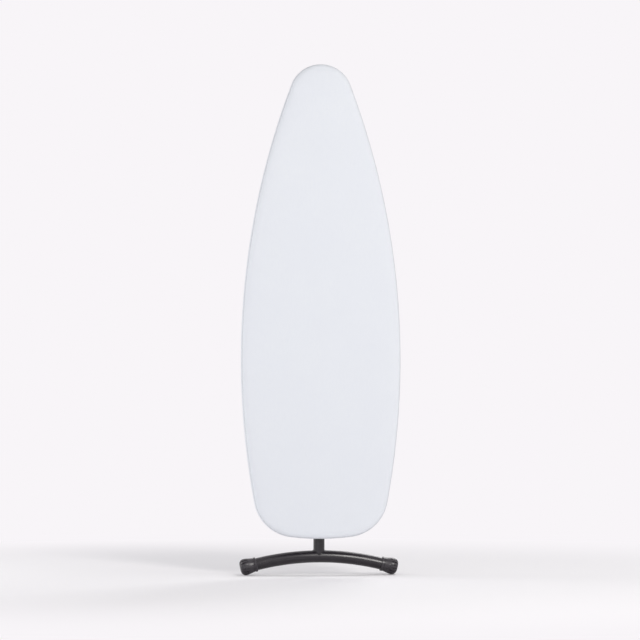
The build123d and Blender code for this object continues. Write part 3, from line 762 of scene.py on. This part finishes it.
def onHinge(c, s):
    # where the hinge tube lies against the front of the leg
    x = hingeHalfX * c
    y = legY - sqrt(welds["legRadius"] ** 2 - x**2)
    rise = sqrt(max(welds["hingeRadius"] ** 2 - (y - hingeY) ** 2, 0))
    return Vector((x * mm, y * mm, (hingeZ + (rise if s > 0 else -rise)) * mm))


weldBead("legFootWeld", legSeam, "inner_leg", onLegFoot)
for side, name in ((-1, "Left"), (1, "Right")):
    weldBead("twinWeld" + name, twinSeam, "outer_leg", onTwinFoot(side))
    weldBead("sleeveWeld" + name, sleeveSeam, "inner_leg", onSleeve(side))
weldBead("hingeWeld", hingeSeam, "inner_leg", onHinge)


def flatButton(name, radiusMm, riseMm):
    # a short cylinder, half of it above the sheet that it sits on
    deselectAll()
    bpy.ops.mesh.primitive_cylinder_add(vertices=20, radius=radiusMm * mm, depth=2 * riseMm * mm,
                                        rotation=(pi / 2, 0, 0))
    button = nameActive(name)
    applyPlace(button)
    return button


rivets = {"headMm": 4.2, "riseMm": 2.0, "domeMm": 1.7, "clipX": 25, "clipBaseMm": 3}
rivet = flatButton("clipRivet", rivets["headMm"], rivets["riseMm"])
roundOff = rivet.modifiers.new("dome", "BEVEL")
roundOff.width = rivets["domeMm"] * mm
roundOff.segments = 3
roundOff.limit_method = "ANGLE"
applyModifiers(rivet)
bpy.ops.object.shade_smooth()
clipLow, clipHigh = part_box("leg_clip")
clipZ = (clipLow.z + clipHigh.z) / 2
clipBack = clipLow.y + rivets["clipBaseMm"] * mm
rivetPlaces = [Matrix.Translation((side * rivets["clipX"] * mm, clipBack, clipZ)) for side in (-1, 1)]
clipRivets = joinCopies(rivet, rivetPlaces, "clipRivets")
finishPiece(clipRivets, finishes["zinc_steel"], "board")

spots = {
    "radiusMm": 3.2, "riseMm": 0.22, "rimMm": 0.9, "dishMm": 0.12,
    "railX": (104, 122), "railZ": (190, 655), "railThickMm": 2,
    "bracketX": (56, 66), "bracketRise": (-8, 8), "bracketThickMm": 2.5,
}
spot = flatButton("spotWeld", spots["radiusMm"], spots["riseMm"])
bpy.ops.object.mode_set(mode="EDIT")
bpy.ops.mesh.select_mode(type="FACE")
bpy.ops.mesh.select_all(action="DESELECT")
form = bmesh.from_edit_mesh(spot.data)
for face in form.faces:
    face.select = face.normal.y > 0.9        # the round face at the back
bmesh.update_edit_mesh(spot.data)
bpy.ops.mesh.inset(thickness=spots["rimMm"] * mm)
bpy.ops.transform.translate(value=(0, -spots["dishMm"] * mm, 0))
bpy.ops.object.mode_set(mode="OBJECT")
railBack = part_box("rack_rail_right")[0].y + spots["railThickMm"] * mm
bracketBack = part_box("pivot_brackets")[0].y + spots["bracketThickMm"] * mm
spotPlaces = [Matrix.Translation((side * x * mm, railBack, z * mm))
              for side in (-1, 1) for x in spots["railX"] for z in spots["railZ"]]
spotPlaces += [Matrix.Translation((side * x * mm, bracketBack, (hingeZ + rise) * mm))
               for side in (-1, 1) for x in spots["bracketX"] for rise in spots["bracketRise"]]
spotWelds = joinCopies(spot, spotPlaces, "spotWelds")
smoothByAngle(spotWelds, 30)
finishPiece(spotWelds, finishes["frame_paint"], "board")
print("welds and rivets set")


# leaf spring of the lever: its seat stays with the rail, its free leg bends with the arm
leaf = {
    "thickMm": 0.8, "seatMm": 13.1, "legMm": 12.7, "legSteps": 16,
    "bendMm": 2.0, "bendDegrees": 147.5, "bendSteps": 12, "edgeMm": 0.12,
    "heldMm": 1.2, "freeMm": 0.6,      # the bending starts and ends this far from the seat and the tip
}
leafLow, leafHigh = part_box("return_spring")
seatY = leafLow.y + leaf["thickMm"] / 2 * mm
deselectAll()
bpy.ops.mesh.primitive_plane_add(size=1)
spring = nameActive("leafSpring")
bpy.ops.object.mode_set(mode="EDIT")
bpy.ops.mesh.select_mode(type="VERT")
bpy.ops.mesh.select_all(action="DESELECT")
form = bmesh.from_edit_mesh(spring.data)
for vertex in form.verts:
    across = leafHigh.z if vertex.co.y > 0 else leafLow.z
    along = leaf["seatMm"] * mm if vertex.co.x > 0 else 0
    vertex.co = (leafLow.x + along, seatY, across)
    vertex.select = along > 0
form.select_flush(True)
bmesh.update_edit_mesh(spring.data)
bendCentre = Vector((leafLow.x + leaf["seatMm"] * mm, seatY + leaf["bendMm"] * mm, 0))
bpy.ops.mesh.select_mode(type="EDGE")
legTurn = radians(leaf["bendDegrees"])
bpy.ops.mesh.spin(steps=leaf["bendSteps"], angle=legTurn, center=bendCentre, axis=(0, 0, -1))
stride = leaf["legMm"] / leaf["legSteps"] * mm
for step in range(leaf["legSteps"]):
    bpy.ops.mesh.extrude_region_move(TRANSFORM_OT_translate={
        "value": (stride * cos(legTurn), stride * sin(legTurn), 0)})
bpy.ops.object.mode_set(mode="OBJECT")
outwardFaces(spring)
wall = spring.modifiers.new("leaf", "SOLIDIFY")
wall.thickness = leaf["thickMm"] * mm
wall.offset = 0
rounded = spring.modifiers.new("edges", "BEVEL")
rounded.width = leaf["edgeMm"] * mm
rounded.segments = 2
rounded.limit_method = "ANGLE"
rounded.angle_limit = radians(60)
applyModifiers(spring)
smoothByAngle(spring, 40)
spring.data.materials.append(finishes["spring_steel"])
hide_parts("return_spring")
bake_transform(spring, "board", "release_lever", start=(leafLow.x, seatY + leaf["heldMm"] * mm, leafLow.z),
         end=(leafLow.x, leafHigh.y - leaf["freeMm"] * mm, leafLow.z))
print("leaf spring bent by", leaf["bendDegrees"], "degrees")


# camera at the photograph's angle
shot = {"lensMm": 158.7, "sensorMm": 36, "distance": 8.0, "azimuth": -6.5, "height": 0.5, "aimX": -0.005,
        "aimZ": 0.7255}
turn = radians(shot["azimuth"])
aim = Vector((shot["aimX"], frontY, shot["aimZ"]))
eye = Vector((shot["distance"] * sin(turn), frontY - shot["distance"] * cos(turn), shot["height"]))
camera = bpy.data.objects.new("photoCamera", bpy.data.cameras.new("photoCamera"))
camera.data.lens = shot["lensMm"]
camera.data.sensor_width = shot["sensorMm"]
camera.location = eye
camera.rotation_euler = (aim - eye).to_track_quat("-Z", "Y").to_euler()
bpy.context.collection.objects.link(camera)
bpy.context.scene.camera = camera
print("camera set,", shot["lensMm"], "mm")


# studio: softboxes, pale floor, white background
softboxes = {
    "keyBox": {"place": (1.3, -4.3, 2.6), "size": (0.95, 2.2), "watts": 97, "colour": "#fffdf9"},
    "sideBox": {"place": (3.3, -1.3, 1.6), "size": (1.8, 1.8), "watts": 9, "colour": "#ffffff"},
    "fillBox": {"place": (-1.9, -2.9, 0.6), "size": (2.0, 1.0), "watts": 10, "colour": "#f1f4fc"},
    "backBox": {"place": (1.6, 2.8, 2.8), "size": (1.4, 1.4), "watts": 36, "colour": "#ffffff"},
    "edgeBox": {"place": (-2.2, 0.45, 0.85), "size": (0.9, 1.6), "watts": 15, "colour": "#ffffff"},
}
lampAim = Vector((0, 0, 0.65))
for name, box in softboxes.items():
    lamp = bpy.data.lights.new(name, "AREA")
    lamp.shape = "RECTANGLE"
    lamp.size, lamp.size_y = box["size"]
    lamp.energy = box["watts"]
    lamp.color = linear(box["colour"])[:3]
    light = bpy.data.objects.new(name, lamp)
    light.location = box["place"]
    light.rotation_euler = (lampAim - Vector(box["place"])).to_track_quat("-Z", "Y").to_euler()
    bpy.context.collection.objects.link(light)

studio = {"ambient": (0.453, 0.455, 0.463, 1), "white": "#f8f5f8"}


def seenDirectly(tree):
    # 1 for the rays that show the white background: those of the camera, of gloss and of glass
    ray = addNode(tree, "ShaderNodeLightPath")
    seen = ray.outputs["Is Camera Ray"]
    for kind in ("Is Glossy Ray", "Is Transmission Ray"):
        either = addNode(tree, "ShaderNodeMath", {0: seen, 1: ray.outputs[kind]}, operation="MAXIMUM")
        seen = either.outputs[0]
    return seen


world = bpy.data.worlds.new("whiteStudio")
bpy.context.scene.world = world
world.use_nodes = True
sky = world.node_tree
level = addNode(sky, "ShaderNodeMix", {0: seenDirectly(sky), 6: studio["ambient"],
                7: linear(studio["white"])}, data_type="RGBA")
sky.links.new(level.outputs[2], sky.nodes["Background"].inputs["Color"])
sky.nodes["Background"].inputs["Strength"].default_value = 1.0

studioFloor = {"radius": 20, "paint": "#faf8fa", "roughness": 0.7, "shine": 0.2, "fadeFrom": 0.9,
               "fadeTo": 2.2}
deselectAll()
bpy.ops.mesh.primitive_circle_add(vertices=96, radius=studioFloor["radius"], fill_type="NGON")
floor = nameActive("studioFloor")
floorPaint, floorTree, floorShader = startMaterial("studioFloorPaint")
floorShader.inputs["Base Color"].default_value = linear(studioFloor["paint"])
floorShader.inputs["Roughness"].default_value = studioFloor["roughness"]
floorShader.inputs["Specular IOR Level"].default_value = studioFloor["shine"]
# away from the object the floor runs into the white background
floorPlace = addNode(floorTree, "ShaderNodeTexCoord")
away = addNode(floorTree, "ShaderNodeVectorMath", {0: floorPlace.outputs["Object"]}, operation="LENGTH")
fade = addNode(floorTree, "ShaderNodeMapRange", {"Value": away.outputs["Value"],
               "From Min": studioFloor["fadeFrom"], "From Max": studioFloor["fadeTo"]},
               interpolation_type="SMOOTHSTEP")
share = addNode(floorTree, "ShaderNodeMath", {0: fade.outputs["Result"], 1: seenDirectly(floorTree)},
                operation="MULTIPLY")
white = addNode(floorTree, "ShaderNodeEmission", {"Color": linear(studio["white"])})
blend = addNode(floorTree, "ShaderNodeMixShader", {0: share.outputs[0], 1: floorShader.outputs["BSDF"],
                2: white.outputs["Emission"]})
floorTree.links.new(blend.outputs["Shader"], floorTree.nodes["Material Output"].inputs["Surface"])
floor.data.materials.append(floorPaint)
print("studio lit by", len(softboxes), "softboxes")

bpy.context.scene.view_settings.view_transform = "Standard"
